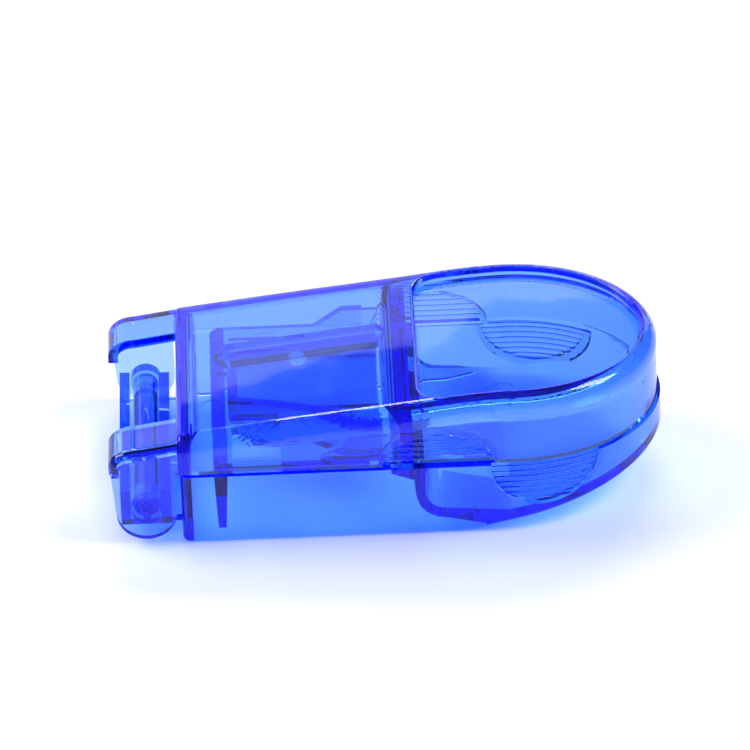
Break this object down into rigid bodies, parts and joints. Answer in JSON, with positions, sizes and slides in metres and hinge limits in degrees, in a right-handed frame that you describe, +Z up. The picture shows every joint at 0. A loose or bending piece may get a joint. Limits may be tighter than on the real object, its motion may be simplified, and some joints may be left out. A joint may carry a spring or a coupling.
{
  "type": "pill splitter",
  "caption": "See-through case with a hinged lid whose blade cuts a pill held in a V-shaped holder; a rounded end stores the pieces.",
  "frame": {"origin": "on the surface the case stands on, under the middle of the closed case's bounding box", "axes": "+X from the hinge to the rounded nose, +Z up, +Y across the case"},
  "size_m": [0.0828, 0.039, 0.0232],
  "materials": {
    "case_plastic": "gloss",
    "lid_plastic": "gloss",
    "holder_plastic": "gloss",
    "blade_steel": "satin"
  },
  "bodies": {
    "case": {"base": "case_plastic", "pill_holder": "holder_plastic"},
    "cover": {"lid": "lid_plastic", "blade": "blade_steel"}
  },
  "joints": [
    {"name": "lid_hinge", "type": "hinge", "parent": "case", "child": "cover", "pos_m": [-0.036, 0, 0.0052], "axis": [0, -1, 0], "range_deg": [0, 85]}
  ]
}
